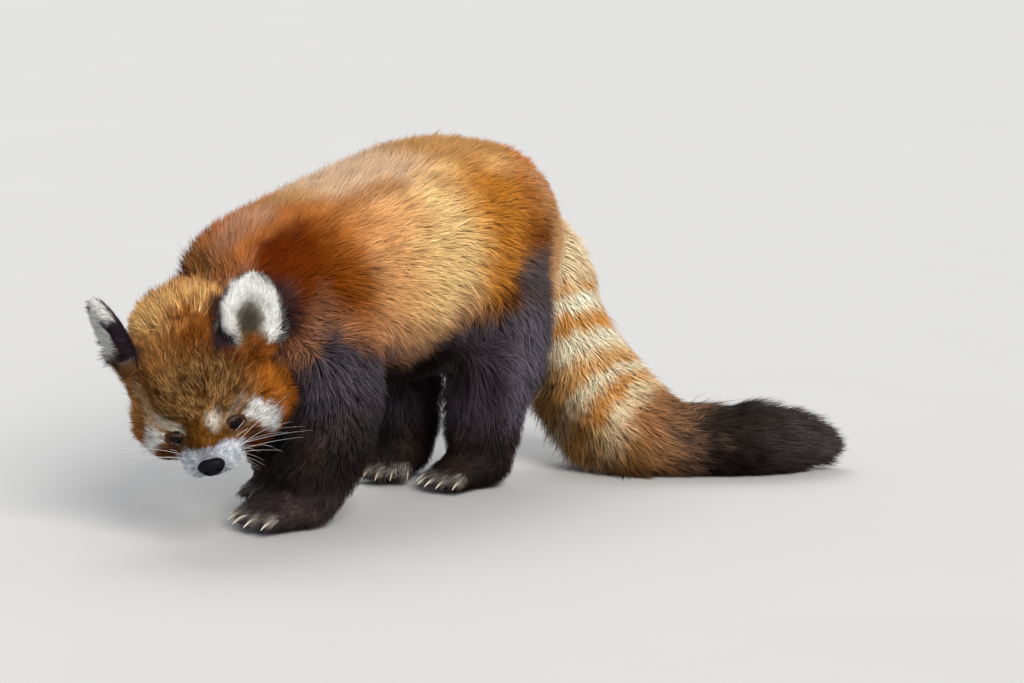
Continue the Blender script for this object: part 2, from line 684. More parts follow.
# Colours along the tail, as shares of its length.
TAIL_BANDS = [
    (0.000, tint(196, 144, 98)), (0.070, tint(226, 186, 140)), (0.110, tint(240, 210, 168)),
    (0.160, tint(236, 206, 164)), (0.182, TAIL_OCHRE * 1.1), (0.198, TAIL_CREAM), (0.240, TAIL_CREAM),
    (0.264, TAIL_OCHRE), (0.294, TAIL_OCHRE), (0.314, TAIL_CREAM), (0.358, TAIL_CREAM),
    (0.386, tint(232, 182, 122)), (0.430, tint(214, 156, 92)), (0.454, TAIL_CREAM), (0.474, TAIL_CREAM),
    (0.494, TAIL_OCHRE * 1.05), (0.512, TAIL_OCHRE * 1.05), (0.530, tint(246, 218, 178)),
    (0.552, tint(242, 210, 168)), (0.576, tint(172, 120, 76)), (0.605, tint(158, 112, 76)),
    (0.640, tint(136, 100, 72)), (0.685, tint(100, 77, 64)), (0.725, tint(42, 34, 32)),
    (0.770, tint(26, 21, 20)), (0.860, tint(52, 45, 45)), (1.000, tint(72, 63, 64)),
]
# In the head's frame: the dark stripe under an eye, the white patch behind it, the pale strip over it, the
# straw-coloured one up the right temple and the dark hair round the roots of the ears.
TEAR_LINE = [(0.046, 0.030, -0.009), (0.045, 0.038, -0.016), (0.043, 0.043, -0.024), (0.034, 0.048, -0.036)]
PATCH_LINE = [(0.038, 0.046, 0.002), (0.036, 0.052, -0.008), (0.030, 0.057, -0.021)]
PALE_LINE = [(0.044, 0.021, 0.004), (0.041, 0.028, 0.010), (0.036, 0.036, 0.014)]
TEMPLE_LINE = [(0.044, -0.026, 0.006), (0.030, -0.046, 0.014), (0.010, -0.052, 0.030)]
LEFT_EAR_LINE = [(-0.044, 0.034, 0.059), (-0.024, 0.032, 0.056), (0.004, 0.031, 0.051)]
RIGHT_EAR_LINE = [(-0.050, -0.054, 0.052), (-0.028, -0.054, 0.048), (-0.006, -0.052, 0.042)]
# A brown streak beside the pale ridge of the back.
BACK_STREAK = [(0.048, -0.215, 0.268), (0.044, -0.171, 0.280), (0.046, -0.135, 0.284)]
# Shares of outwards and rearwards in the slanting measure that the edges on the haunch follow.
OUTWARDS, REARWARDS = 0.766, 0.643


def stops(table, values):
    """Colours read off a table of stops."""
    at = [row[0] for row in table]
    return np.stack([np.interp(values, at, [row[1][c] for row in table]) for c in range(3)], 1)


def blend(under, over, share):
    """Some of one colour laid over another."""
    return under + (over - under) * np.clip(share, 0, 1)[:, None]


def blob(spots, centre, radii, soft=0.3):
    """1 inside a stretched ball, 0 outside, with a soft edge."""
    gap = np.linalg.norm((spots - np.array(centre)) / np.array(radii), axis=1)
    return soft_step(1 + soft, 1 - soft, gap)


def from_line(spots, line):
    """How far each spot lies from a bent line, and the share of its length there."""
    line = np.array([tuple(p) for p in line])
    spans = np.linalg.norm(line[1:] - line[:-1], axis=1)
    starts = np.concatenate([[0], np.cumsum(spans)]) / spans.sum()
    best = np.full(len(spots), 9.0)
    share = np.zeros(len(spots))
    for i, (a, b) in enumerate(zip(line, line[1:])):
        t = np.clip((spots - a) @ (b - a) / ((b - a) @ (b - a)), 0, 1)
        gap = np.linalg.norm(spots - a - t[:, None] * (b - a), axis=1)
        nearer = gap < best
        best = np.where(nearer, gap, best)
        share = np.where(nearer, starts[i] + t * (starts[i + 1] - starts[i]), share)
    return best, share


TAIL_LINE = smooth_line([p for p, _ in TAIL], 4)


def body_marks(p):
    """Colour, tip colour and share of dark hairs of the trunk."""
    x, y, z = p.T
    dark = dark_hair(p)
    on_left = soft_step(-0.005, 0.020, x)
    off_tail = from_line(p, TAIL_LINE)[0]
    # The flank from shoulder to rump, then the pale ridge of the back with an orange rim at the withers.
    drift = wobble(p, 0.09, 3) * 0.012
    colour = stops(FLANK, y + drift * 0.7 + wobble(p, 0.025, 21) * 0.004 + 0.12 * (0.24 - z))
    shoulder = blob(p * np.array([0, 1, 1]), (0, -0.232, 0.205), (1, 0.036, 0.034), 0.6)
    colour = blend(colour, SHOULDER_BROWN, shoulder * 0.75)
    lean = np.degrees(np.arctan2(np.abs(x), z - 0.20))
    withers = soft_step(-0.19, -0.24, y)
    ridge = soft_step(40, 16, lean + wobble(p, 0.04, 13) * 5)
    ridge = ridge + (soft_step(46, 6, lean + wobble(p, 0.03, 23) * 9) - ridge) * withers
    rim = 4 * ridge * (1 - ridge) * withers
    colour = blend(blend(colour, stops(RIDGE, y + drift), ridge), WITHERS_ORANGE, rim * 0.65)
    streak = soft_step(0.016, 0.004, from_line(p, BACK_STREAK)[0] + wobble(p, 0.015, 32) * 0.004)
    colour = blend(colour, STREAK_BROWN, streak * 0.6)
    loin = blob(p, (0.067, -0.065, 0.281), (0.014, 0.032, 0.016), 0.7)
    rump = blob(p, (0.053, -0.007, 0.293), (0.016, 0.024, 0.014), 0.7)
    colour = blend(blend(colour, LOIN_ORANGE, loin * 0.55), RUMP_SAND, rump * 0.6)
    # The edge of the black coat, with rosy hair over it in front and rust behind.
    above = above_edge(p)
    low = soft_step(0.055, 0.006, above) * soft_step(-0.045, -0.085, y)
    behind = soft_step(0.035, 0.004, above) * soft_step(-0.060, -0.030, y)
    black = black_share(p)
    colour = blend(colour, ROSY_BROWN * 1.12, low * 0.75)
    colour = blend(colour, MAUVE_BROWN, soft_step(0.024, 0.002, above) * 0.7)
    colour = blend(colour, RUMP_RUST * 0.7, behind)
    colour = blend(colour, dark, black)
    # Down the back of the haunch the rust turns mauve and then black.
    ragged = wobble(p, 0.03, 14) * 0.002
    rear = OUTWARDS * np.abs(x) + REARWARDS * y + ragged
    strip = soft_step(0.052, 0.068, rear) * soft_step(0.262, 0.225, z)
    strip = strip * np.maximum(on_left, soft_step(0.055, 0.085, off_tail))
    mauve = blend(np.tile(MAUVE_BROWN, (len(p), 1)), RUMP_RUST, soft_step(0.200, 0.228, z))
    colour = blend(colour, mauve, strip * 0.9)
    dark_strip = strip * soft_step(0.218, 0.190, z)
    colour = blend(colour, dark, dark_strip)
    black = np.maximum(black, dark_strip)
    # The root of the tail, where it leaves the rump.
    slant = OUTWARDS * x + REARWARDS * y + ragged
    root = soft_step(0, 0.005, slant - (0.076 + 0.007 * soft_step(0.195, 0.225, z)))
    root = root * soft_step(0.100, 0.12, z) * soft_step(0.02, 0.04, y)
    root = root * soft_step(0.266, 0.245, z) * (soft_step(0.125, 0.105, off_tail) * on_left)
    colour = blend(colour, tail_marks(p)[0], root)
    black = black * (1 - root)
    colour = blend(colour, PLUM, plum_share(p))
    tip = blend(colour * 1.12, GREY_TIP * 0.4, black * soft_step(0.13, 0.17, z))
    tip = blend(tip, colour * 0.8, low * (1 - black) * 0.5)
    speckle = 0.015 + 0.10 * low * (1 - black) + 0.05 * black
    return colour, tip, speckle


def plum_share(p):
    """The blackish purple hair round the root of each ear."""
    h = seen_from(HEAD_INVERSE, p)
    gap = np.minimum(from_line(h, LEFT_EAR_LINE)[0], from_line(h, RIGHT_EAR_LINE)[0])
    m = np.stack([h[:, 0], np.abs(h[:, 1]), h[:, 2]], 1)
    behind = blob(m, (-0.048, 0.080, 0.032), (0.026, 0.020, 0.030), 0.4)
    return np.maximum(soft_step(0.012, 0.006, gap), behind) * 0.92


def dark_hair(p):
    """Bluish black high on the limbs and down the hind ones, blackish brown under the belly and below."""
    x, y, z = p.T
    hind = soft_step(-0.11, -0.07, y)
    low = soft_step(0.13, 0.08, z)
    colour = blend(np.tile(BLUE_BLACK, (len(p), 1)), BLACK_BROWN, low)
    colour = blend(colour, WARM_BLACK, 0.4 * soft_step(-0.2, 0.6, wobble(p, 0.06, 5)) * low)
    rear = OUTWARDS * np.abs(x) + REARWARDS * y + wobble(p, 0.02, 25) * 0.006
    shank = hind * soft_step(0.035, 0.065, z)
    colour = blend(colour, SHANK_BLACK, shank)
    colour = blend(colour, SHANK_GREY, shank * soft_step(0.035, 0.060, rear))
    colour = blend(colour, HAUNCH_BROWN, hind * soft_step(0.145, 0.175, z))
    colour = blend(colour, PAW_BROWN, soft_step(0.040, 0.025, z) * (1 - 0.9 * hind))
    inside = soft_step(0.080, 0.060, np.abs(x)) * soft_step(0.08, 0.11, z)
    return blend(colour, BLACK_BROWN, inside)


def leg_marks(p):
    """The limbs: black, frosted above, with pale tufts over the claws."""
    x, y, z = p.T
    colour = dark_hair(p)
    high = soft_step(0.05, 0.13, z)
    tip = blend(colour * 1.3, GREY_TIP, 0.06 + 0.20 * high)
    rear = OUTWARDS * np.abs(x) + REARWARDS * y
    on_left = soft_step(-0.005, 0.020, x)
    black = np.maximum(black_share(p), soft_step(0.0, 0.02, y) * on_left)
    black = black * soft_step(0.081, 0.076, rear * on_left)
    black = np.maximum(black, soft_step(0.150, 0.125, z))
    above = body_marks(p)[0]
    colour, tip = blend(above, colour, black), blend(above, tip, black)
    near_toe = np.zeros(len(p))
    for limb in PAWS:
        for knuckle, ahead in toe_places(limb):
            end = knuckle + ahead * 0.021 + Vector((0, 0, 0.002))
            near_toe = np.maximum(near_toe, blob(p, end, (0.009,) * 3, 0.5))
    colour = blend(colour, PAW_TIP * 0.4, near_toe * 0.45)
    tip = blend(tip, PAW_TIP, near_toe * 0.6)
    return colour, tip, np.full(len(p), 0.15)


def above_edge(p):
    """Height above the edge of the black coat, which lies lower on the right of the rump."""
    x, y, z = p.T
    edge = np.interp(y, [a for a, _ in COAT_EDGE], [b for _, b in COAT_EDGE])
    on_right = soft_step(0.03, -0.03, x)
    edge = edge - 0.035 * on_right * soft_step(-0.02, 0.05, y)
    return z - edge + wobble(p, 0.02, 4) * 0.004 + wobble(p, 0.05, 26) * 0.005 * on_right


def black_share(p):
    """1 in the black coat of belly and limbs, 0 above it."""
    return soft_step(0.006, -0.008, above_edge(p))


# The ways that the shaggy underside and the rusty back of the tail face.
TAIL_UNDER = np.array([-0.45, -0.70, -0.55])
TAIL_BACK = np.array([0.60, 0.79, 0.10])


def tail_marks(p):
    """The tail: ringed cream and ochre, then rust, then black, with tangled brown hair below."""
    share = from_line(p, TAIL_LINE)[1]
    ragged = 1 + 2.5 * soft_step(0.58, 0.66, share)
    colour = stops(TAIL_BANDS, share + (wobble(p, 0.03, 6) * 0.010 + wobble(p, 0.012, 19) * 0.007) * ragged)
    middle = np.array([tuple(v) for v in TAIL_LINE])
    at = np.clip((share * (len(middle) - 1)).astype(int), 0, len(middle) - 1)
    outward = unit(p - middle[at])
    under = soft_step(0.25, 0.85, outward @ TAIL_UNDER + wobble(p, 0.015, 24) * 0.15)
    under = under * soft_step(0.66, 0.56, share) * soft_step(0.22, 0.34, share)
    back = soft_step(0.80, 0.99, outward @ TAIL_BACK) * soft_step(0.14, 0.22, share)
    colour = blend(colour, TAIL_RUST, back * 0.7 * soft_step(0.58, 0.50, share))
    tangled = soft_step(-0.35, 0.45, wobble(p, 0.012, 31))
    colour = blend(colour, TAIL_STRAW, under * 0.7)
    colour = blend(colour, TAIL_SHADE, under * tangled * 0.85)
    tip = colour * (1.12 + 0.7 * under)[:, None]
    above = soft_step(-0.2, 0.8, (p - middle[at])[:, 2] / 0.03)
    tip = blend(tip, TAIL_GREY, soft_step(0.66, 0.72, share) * above * 0.12)
    mixed = soft_step(0.50, 0.62, share) * soft_step(0.74, 0.70, share)
    return colour, tip, 0.01 + 0.14 * under + 0.30 * mixed


def head_marks(p):
    """The face: a gold crown, grizzled forehead, orange cheeks and the white marks round eyes and muzzle."""
    h = seen_from(HEAD_INVERSE, p)
    side = h[:, 1] > 0
    f, l, u = h[:, 0], np.abs(h[:, 1]), h[:, 2]
    m = np.stack([f, l, u], 1)
    # Crown and forehead.
    colour = np.tile(CHESTNUT, (len(p), 1))
    mottle = wobble(p, 0.03, 7) * 0.016 + wobble(p, 0.012, 22) * 0.010
    down_brow = f + 0.5 * (0.060 - u) + mottle
    colour = blend(colour, ORANGE, soft_step(0.030, -0.010, down_brow) * soft_step(0.02, 0.045, u) * 0.45)
    leftward = 0.016 * soft_step(-0.025, 0.0, h[:, 1]) + 0.6 * np.maximum(h[:, 1], 0)
    gold = soft_step(-0.006, -0.046, down_brow + leftward)
    colour = blend(colour, CROWN_GOLD, gold * soft_step(0.030, 0.055, u) * 0.85)
    grizzled = blob(m, (0.034, 0.0, 0.028), (0.032, 0.052, 0.034), 0.5)
    colour = blend(colour, GRIZZLE * 0.8, grizzled * 0.85)
    colour = blend(colour, ORANGE, blob(m, (0.002, 0.069, 0.000), (0.030, 0.022, 0.028), 0.7))
    tan = blob(h, (0.012, -0.056, 0.020), (0.030, 0.016, 0.034), 0.5)
    tan = np.maximum(tan, 0.7 * blob(h, (0.002, -0.026, 0.054), (0.028, 0.020, 0.020), 0.6))
    colour = blend(colour, TEMPLE_TAN, tan * 0.8)
    strip = soft_step(0.012, 0.005, from_line(h, TEMPLE_LINE)[0])
    colour = blend(colour, TEMPLE_STRAW, strip * 0.75)
    colour = blend(colour, ORANGE, blob(m, (-0.02, 0.06, -0.02), (0.04, 0.03, 0.03), 0.4))
    colour = blend(colour, DEEP_RUST * 1.2, soft_step(-0.055, -0.085, f) * 0.7)
    colour = blend(colour, PLUM, plum_share(p))
    speckle = 0.10 + 0.34 * blob(m, (0.016, 0.0, 0.042), (0.045, 0.055, 0.045), 0.5)
    # Throat, bridge of the nose and the marks round the eyes.
    colour = blend(colour, BLACK_BROWN, soft_step(-0.030, -0.040, u + 0.25 * l))
    colour = blend(colour, BRIDGE, blob(m, (0.060, 0.0, 0.006), (0.022, 0.017, 0.014), 0.3))
    colour = blend(colour, BRIDGE, blob(m, (0.043, 0.022, -0.004), (0.014, 0.016, 0.014), 0.3))
    patch = soft_step(0.0120, 0.0060, from_line(m, PATCH_LINE)[0] + wobble(p, 0.007, 12) * 0.0025)
    colour = blend(colour, WHITE * 0.72, patch * 0.92)
    brow = 0.85 * blob(m, (0.050, 0.0110, 0.0120), (0.008, 0.0060, 0.0080), 0.8) * side
    pale = soft_step(0.0075, 0.0035, from_line(m, PALE_LINE)[0])
    brow = np.maximum(brow, np.where(side, 0.2, 0.7) * pale)
    colour = blend(colour, BROW_CREAM, brow)
    tear = soft_step(0.0085, 0.0035, from_line(m, TEAR_LINE)[0])
    colour = blend(colour, TEAR, tear * 0.95)
    edge = 0.002 - 22 * l * l + wobble(p, 0.008, 8) * 0.001
    muzzle = soft_step(0.0012, -0.0018, u - edge) * soft_step(0.043, 0.048, f + 0.25 * (0.03 - l))
    muzzle = muzzle * soft_step(0.033, 0.029, l)
    colour = blend(colour, MUZZLE_WHITE, muzzle)
    over_nose = blob(m, (0.071, 0.0, -0.004), (0.007, 0.008, 0.006), 0.5)
    colour = blend(colour, LIP_GREY, over_nose * 0.6)
    ring = np.full(len(p), 9.0)
    for matrix in EYE_INVERSES:
        e = seen_from(matrix, p)
        ring = np.minimum(ring, np.where(e[:, 0] > 0, lid_reach(e), 9.0))
    colour = blend(colour, LID_BROWN, soft_step(1.40, 1.15, ring))
    white = np.maximum(patch, np.maximum(brow, muzzle))
    speckle = speckle * (1 - white) + 0.10 * patch
    bare_bridge = 1 - 0.8 * blob(m, (0.056, 0.0, 0.006), (0.022, 0.026, 0.014), 0.4)
    ticked = (0.10 + 0.42 * grizzled) * (1 - white) * soft_step(-0.03, -0.01, u)
    ticked = ticked * (1 - plum_share(p)) * bare_bridge
    return colour, blend(colour * 1.2, TAN_TIP, ticked), speckle


def ear_marks(p):
    """The ears: white round a dark hollow, blackish purple behind, tan at the root."""
    colour = head_marks(p)[0]
    speckle = np.zeros(len(p))
    for name, matrix in EAR_INVERSES.items():
        out, along, high = seen_from(matrix, p).T
        crownward = -along if name == "ear_left" else along
        here = (np.abs(out) < 0.016) & (crownward < 0.027) & (crownward > -0.040)
        here = here & (high > -0.03) & (high < 0.08)
        front = soft_step(-0.006, -0.003, out) * here
        colour = blend(colour, WHITE * 0.88, soft_step(0.000, 0.007, high) * here)
        if name == "ear_left":
            reach = np.hypot((high - 0.018) / 0.019, (along + 0.001) / 0.0125)
            colour = blend(colour, OLIVE, soft_step(1.25, 0.75, reach) * front * 0.9)
            colour = blend(colour, OLIVE * 0.30, soft_step(0.9, 0.35, reach) * front * 0.8)
            inner = soft_step(0.018, 0.010, high) * soft_step(-0.012, -0.019, along) * here
        else:
            near = soft_step(0.003, 0.010, along + wobble(p, 0.01, 17) * 0.002)
            colour = blend(colour, EAR_ROOT_TAN, soft_step(0.010, 0.004, high) * near * here)
            inner = soft_step(0.046, 0.036, high) * soft_step(0.003, 0.009, high) * near * here
        colour = blend(colour, PLUM, inner)
        behind = soft_step(-0.0005, -0.0035, out) * here
        behind = behind * soft_step(0.96, 0.84, np.hypot((high - 0.02) / 0.043, along / 0.027))
        colour = blend(colour, PLUM, behind)
        low = soft_step(0.014, 0.005, high) * soft_step(0.017, 0.011, np.abs(along)) * here
        colour = blend(colour, EAR_TUFT_TAN, low * 0.8)
        speckle += low * 0.4
    return colour, colour * 1.05, speckle


MARKS = (body_marks, leg_marks, tail_marks, head_marks, ear_marks)


def markings(spots, kinds):
    """Colour, tip colour and share of dark hairs at each spot, the kinds of coat mixed."""
    weight = kinds**3
    weight /= weight.sum(1, keepdims=True)
    colour = np.zeros((len(spots), 3))
    tip = np.zeros((len(spots), 3))
    speckle = np.zeros(len(spots))
    for k, marks in enumerate(MARKS):
        c, t, s = marks(spots)
        colour += weight[:, k : k + 1] * c
        tip += weight[:, k : k + 1] * t
        speckle += weight[:, k] * s
    return colour, tip, speckle


# ---------------------------------------------------------------- skin


def paw_lumps(limb):
    """Palm, heel and toes of one paw."""
    heel, knuckles, half_width = PAWS[limb]
    heel, knuckles = Vector(heel), Vector(knuckles)
    wrist = Vector(LIMBS[limb][-1][0])
    palm = [
        (wrist + Vector((0, 0, 0.012)), 0.030, 0.030),
        (heel.lerp(wrist, 0.45), 0.031, 0.028),
        (heel.lerp(knuckles, 0.45) + Vector((0, 0, 0.004)), half_width * 0.93, 0.021),
        (knuckles, half_width * 0.92, 0.0155),
    ]
    lumps = [tube("palm", smooth_sections(palm, 4))]
    lumps.append(ball("heel", Matrix.Translation(heel) @ Matrix.Diagonal((0.026, 0.026, 0.019, 1))))
    for knuckle, ahead in toe_places(limb):
        tip = knuckle + ahead * TOE_LENGTH - Vector((0, 0, 0.003))
        stations = [
            (knuckle - ahead * 0.008, TOE_RADIUS, TOE_RADIUS),
            (knuckle + Vector((0, 0, 0.003)), TOE_RADIUS, TOE_RADIUS),
            (tip, TOE_RADIUS * 0.86, TOE_RADIUS * 0.86),
            (tip + ahead * 0.005, TOE_RADIUS * 0.45, TOE_RADIUS * 0.45),
        ]
        lumps.append(tube("toe", stations, sides=12))
    return lumps


def ear_cup(name):
    """A thin cup that stands on the head."""
    frame = ear_frame(name)
    half = (EAR_LENGTH + EAR_ROOT) / 2
    bare = 0.0018
    middle = Matrix.Translation((0, 0, EAR_LENGTH - half))
    radii = (EAR_HALF_DEPTH - bare, EAR_HALF_WIDTH - bare, half - bare, 1)
    cup = ball(name, frame @ middle @ Matrix.Diagonal(radii))
    middle = Matrix.Translation((EAR_HALF_DEPTH * 0.95, 0, EAR_LENGTH - half - 0.004))
    radii = (EAR_HALF_DEPTH * 1.1, EAR_HALF_WIDTH - 0.0065, half - 0.0115, 1)
    return cut(cup, ball("hollow", frame @ middle @ Matrix.Diagonal(radii)))


def inset(body):
    """Moves the surface in by the depth of the coat that grows on it."""
    deepest = 0.026
    depth = read_guides(points_of(body))["depth"] / deepest
    group = body.vertex_groups.new(name="coat")
    for step in range(101):
        chosen = np.nonzero(np.round(np.clip(depth, 0, 1) * 100).astype(int) == step)[0]
        if len(chosen):
            group.add(chosen.tolist(), step / 100, "REPLACE")
    return apply(body, "DISPLACE", strength=-deepest, mid_level=0, direction="NORMAL", vertex_group="coat")


def make_skin():
    """Trunk, limbs, head, tail and ears as one closed surface under the coat."""
    lumps = [tube("trunk", smooth_sections(TRUNK, 4), sides=40)]
    for limb, sections in LIMBS.items():
        lumps.append(tube(limb, smooth_sections(sections, 4)))
        lumps += paw_lumps(limb)
    body = fused("body", lumps, 0.0040, 6)
    face = []
    for centre, radii in HEAD_LUMPS:
        face.append(ball("lump", HEAD @ Matrix.Translation(centre) @ Matrix.Diagonal((*radii, 1))))
    face = fused("face", face, 0.0026, 14)
    tail = [(p, r, r) for p, r in TAIL[:-1]]
    tail = tube("tail", smooth_sections(tail, 3), TAIL_ACROSS)
    skin = fused("skin", [body, face, tail], 0.0030, 3)
    inset(skin)
    skin = fused("skin", [skin] + [ear_cup(name) for name in EARS], 0.0027, 2)
    refine_face(skin)
    spots = points_of(skin)
    spots[:, 2] = np.maximum(spots[:, 2], OVER_FLOOR)
    move_points(skin, spots)
    return skin


def divide_face(skin):
    """Finer faces round the eyes, nose and mouth."""
    spots = points_of(skin)
    h = seen_from(HEAD_INVERSE, spots)
    near = (h[:, 0] > 0.030) & (np.abs(h[:, 1]) < 0.036) & (h[:, 2] < 0.014) & (h[:, 2] > -0.045)
    mesh = skin.data
    chosen = np.zeros(len(mesh.polygons), bool)
    for polygon in mesh.polygons:
        chosen[polygon.index] = all(near[v] for v in polygon.vertices)
    mesh.vertices.foreach_set("select", np.zeros(len(spots), bool))
    mesh.edges.foreach_set("select", np.zeros(len(mesh.edges), bool))
    mesh.polygons.foreach_set("select", chosen)
    bpy.context.view_layer.objects.active = skin
    bpy.ops.object.mode_set(mode="EDIT")
    bpy.ops.mesh.select_mode(type="FACE")
    bpy.ops.mesh.subdivide(number_cuts=1, smoothness=0.6)
    bpy.ops.object.mode_set(mode="OBJECT")


def sink_sockets(spots):
    """Spots round the eyes moved to a ball under the lids and into a hollow inside their opening."""
    spots = spots.copy()
    for matrix in EYE_INVERSES:
        back = np.linalg.inv(matrix)
        e = seen_from(matrix, spots)
        far = np.linalg.norm(e, axis=1)
        reach = lid_reach(e)
        front = (e[:, 0] > 0) & (far < EYE_SPAN)
        inner = front & (reach < 1.25)
        outer = front & (reach >= 1.25) & (far < EYE_RADIUS + 0.0008)
        e[inner] *= (EYE_RADIUS * 0.8 / far[inner])[:, None]
        e[outer] *= ((EYE_RADIUS + 0.0008) / far[outer])[:, None]
        moved = seen_from(back, e)
        touched = inner | outer
        spots[touched] = moved[touched]
    return spots


def refine_face(skin):
    """Sockets for the eyes and the line between the lips."""
    divide_face(skin)
    spots = sink_sockets(points_of(skin))
    line = [HEAD @ p for p in smooth_line(MOUTH + [(f, -l, u) for f, l, u in MOUTH[-2::-1]], 4)]
    surface = surface_of(skin)
    line = [surface.find_nearest(p)[0] for p in line]
    gap = from_line(spots, line)[0]
    spots -= normals_of(skin) * (0.0016 * soft_step(0.0026, 0.0006, gap))[:, None]
    move_points(skin, spots)


def unwrap(skin):
    """Lays the skin's own shape out on the map that colours are kept on."""
    skin.data.uv_layers.new(name="OFBake")
    edit_all(skin, bpy.ops.uv.smart_project, angle_limit=math.radians(66), island_margin=0.002)


# ---------------------------------------------------------------- coat


def sample_skin(skin, draw):
    """Roots spread over the skin by the coat's density: place, normal and spot on the map."""
    mesh = skin.data
    mesh.calc_loop_triangles()
    corners = rows_of(mesh.loop_triangles, "vertices", 3, np.int32)
    loops = rows_of(mesh.loop_triangles, "loops", 3, np.int32)
    flat = rows_of(mesh.uv_layers["OFBake"].data, "uv", 2)
    spots = points_of(skin)
    normals = normals_of(skin)
    a, b, c = (spots[corners[:, i]] for i in range(3))
    area = np.linalg.norm(np.cross(b - a, c - a), axis=1) / 2 * 1e6  # in square mm
    coat = read_guides((a + b + c) / 3)
    density = coat["density"] * (coat["kind"] @ CROWDING)
    ends = np.cumsum(area * density)
    total = int(ends[-1])
    marks = (np.arange(total) + draw.random(total)) / total * ends[-1]
    chosen = np.clip(np.searchsorted(ends, marks), 0, len(corners) - 1)
    s, t = draw.random(total), draw.random(total)
    over = s + t > 1
    s[over], t[over] = 1 - s[over], 1 - t[over]
    share = np.stack([1 - s - t, s, t], 1)
    place = sum(share[:, i : i + 1] * spots[corners[chosen, i]] for i in range(3))
    normal = unit(sum(share[:, i : i + 1] * normals[corners[chosen, i]] for i in range(3)))
    chart = sum(share[:, i : i + 1] * flat[loops[chosen, i]] for i in range(3))
    return place, normal, chart


def bare(place):
    """Roots that fall on eyes, lids, nose pad or claws."""
    away = np.zeros(len(place), bool)
    for matrix in EYE_INVERSES:
        e = seen_from(matrix, place)
        near = (e[:, 0] > 0) & (np.linalg.norm(e, axis=1) < EYE_SPAN)
        away |= near & (lid_reach(e, 0.0022) < 1)
    h = seen_from(HEAD_INVERSE, place)
    centre, radii = NOSE
    away |= np.linalg.norm((h - centre) / (np.array(radii) * 1.04 + 0.0004), axis=1) < 1
    return away


# For body, leg, tail, head and ear: how many more tufts there are and how much thinner, how far they
# stray, how uneven their tones are, where along a tuft its own and its tip's markings are read, and the
# share of the long tufts that bend.
CROWDING = np.array([1.42, 1.22, 1.85, 1.85, 0.62])
THINNING = np.array([0.76, 0.82, 0.80, 0.68, 0.95])
STRAY = np.array([0.15, 0.20, 0.19, 0.28, 0.26])
UNEVEN = np.array([0.07, 0.16, 0.06, 0.36, 0.06])
READ_AT = np.array([0.60, 0.60, 0.55, 0.55, 0.20])
TIP_READ_AT = np.array([0.95, 0.90, 0.92, 0.85, 0.30])
BENT = np.array([0.16, 0.16, 0.35, 0.16, 0.10])

LOCK_TUFTS = 9  # that draw together on average
LOCK_REACH = 0.02
LONG_TUFT = 0.0125  # the shortest that bends
PROUD_SHARE = 0.05  # of the tufts stand out over the rest
DARK_HAIR = 0.42  # of the colour round it
BRIGHTEST = 0.92


def gather_locks(place, middle, tip, kind, draw):
    """Draws the tips of each lock's tufts together; gives the locks' numbers, middles and tips."""
    count = len(place)
    pick = draw.choice(count, count // LOCK_TUFTS, replace=False)
    tree = KDTree(len(pick))
    for i, k in enumerate(pick):
        tree.insert(place[k], i)
    tree.balance()
    lock = np.array([tree.find(p)[1] for p in place])
    lead = pick[lock]
    near = np.linalg.norm(place[lead] - place, axis=1) < LOCK_REACH
    gather = np.where(near, draw.uniform(0.15, 0.60, count), 0) * (1 + 0.35 * kind[:, TAIL_KIND])
    middle = middle + (middle[lead] - middle) * (gather * 0.35)[:, None]
    return lock, middle, tip + (tip[lead] - tip) * gather[:, None]


def tones(place, lie, tip, kind, lock, draw):
    """Colour and tip colour of each tuft: the markings, made uneven by tuft and by lock."""
    count, locks = len(place), len(place) // LOCK_TUFTS
    # Each lock takes its markings from a little before or behind its own place.
    slip = lie * (draw.normal(size=locks)[lock] * (0.0012 + 0.0004 * kind[:, TAIL_KIND]))[:, None]
    colour, _, speckle = markings(place + slip + (tip - place) * (kind @ READ_AT)[:, None], kind)
    _, tip_colour, _ = markings(place + slip + (tip - place) * (kind @ TIP_READ_AT)[:, None], kind)
    uneven = kind @ UNEVEN
    shade = 1 + draw.normal(size=count) * uneven
    shade *= 1 + draw.normal(size=locks)[lock] * (uneven * 0.8 + 0.05)
    shade *= 1 + (0.09 + 0.28 * kind[:, HEAD_KIND]) * wobble(place, 0.010, 10)
    shade *= 1 + (0.08 + 0.06 * kind[:, BODY_KIND]) * wobble(place, 0.028, 15)
    shade = np.clip(shade, 0.45, 1.6)[:, None]
    # On the head some locks are ticked with tan and some not.
    tick = (2.2 * draw.random(locks) ** 1.5)[lock][:, None]
    ticked = colour * 1.2 + (tip_colour - colour * 1.2) * tick
    tip_colour = np.where(kind[:, HEAD_KIND, None] > 0.5, ticked, tip_colour)
    dark = np.where(draw.random(count) < speckle, DARK_HAIR, 1.0)[:, None]
    return [np.clip(tone * dark * shade, 0, BRIGHTEST) for tone in (colour, tip_colour)]


